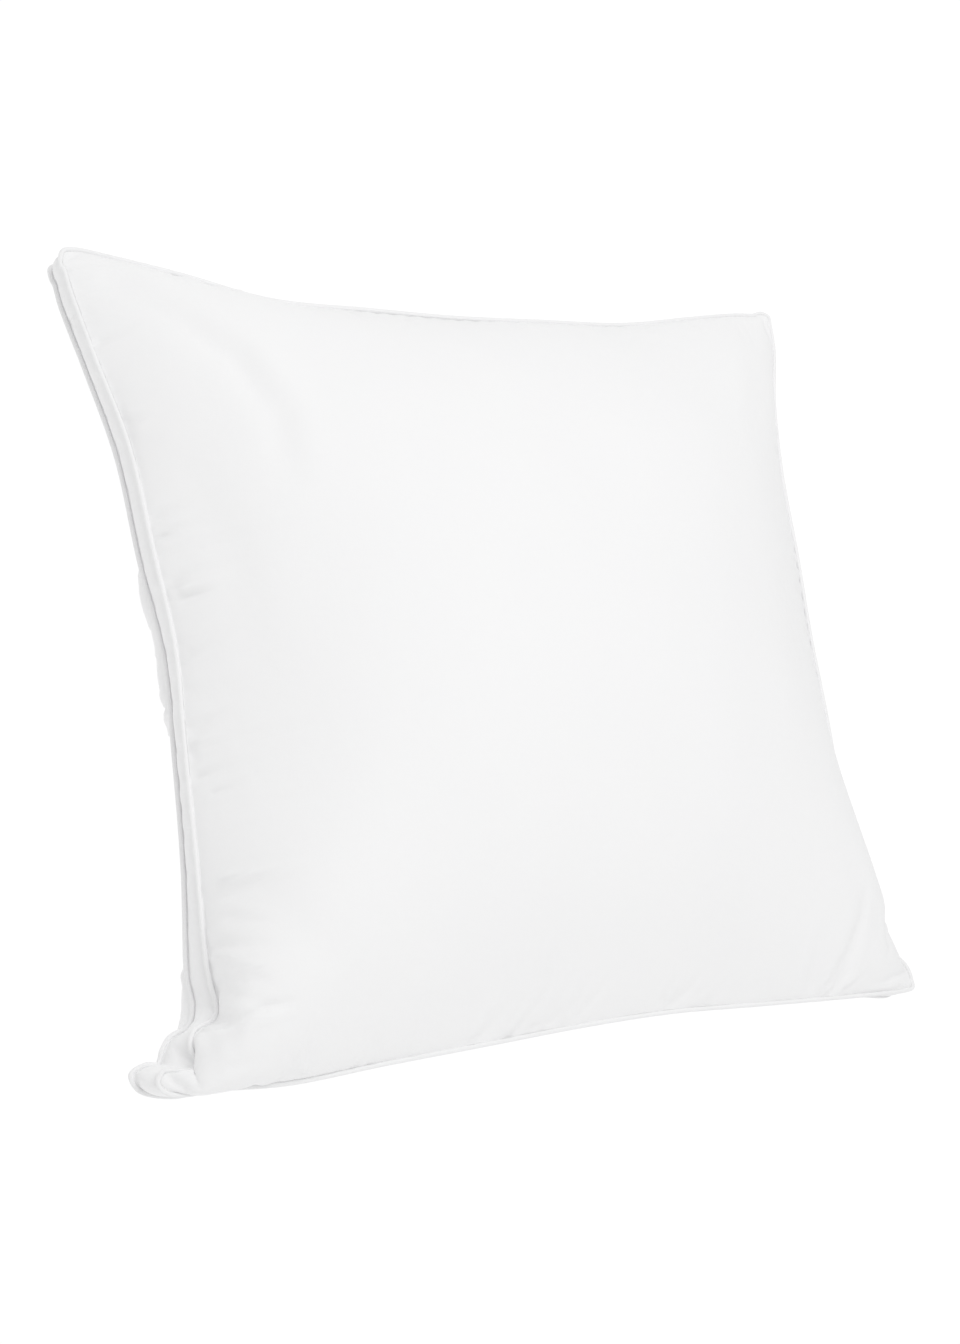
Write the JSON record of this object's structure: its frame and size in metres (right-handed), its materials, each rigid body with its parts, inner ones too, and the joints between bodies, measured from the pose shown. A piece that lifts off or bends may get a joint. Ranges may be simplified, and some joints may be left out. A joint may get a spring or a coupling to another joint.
{
  "type": "bed pillow",
  "caption": "Square bed pillow lying flat: two cotton panels, a narrow gusset between them and corded piping along both seams, around a soft filling.",
  "frame": {"origin": "under the middle of the pillow, on the surface it lies on", "axes": "+Z through the thickness, from the back panel up to the front panel; +Y to the top edge of the front panel and +X to its right edge"},
  "size_m": [0.6442, 0.5977, 0.2006],
  "materials": {
    "percale": "matte white cotton percale, fine plain weave",
    "piping": "matte white cotton bias strip over a cord",
    "cord": "matte twisted cotton cord",
    "thread": "satin white sewing thread",
    "filling": "matte soft fibre filling"
  },
  "bodies": {
    "root": {"front_panel": "percale", "back_panel": "percale", "gusset_strip": "percale", "front_piping_cover": "piping", "back_piping_cover": "piping", "front_piping_cord": "cord", "back_piping_cord": "cord", "front_seam_thread": "thread", "back_seam_thread": "thread", "gusset_join_thread": "thread", "fill": "filling"}
  },
  "joints": []
}
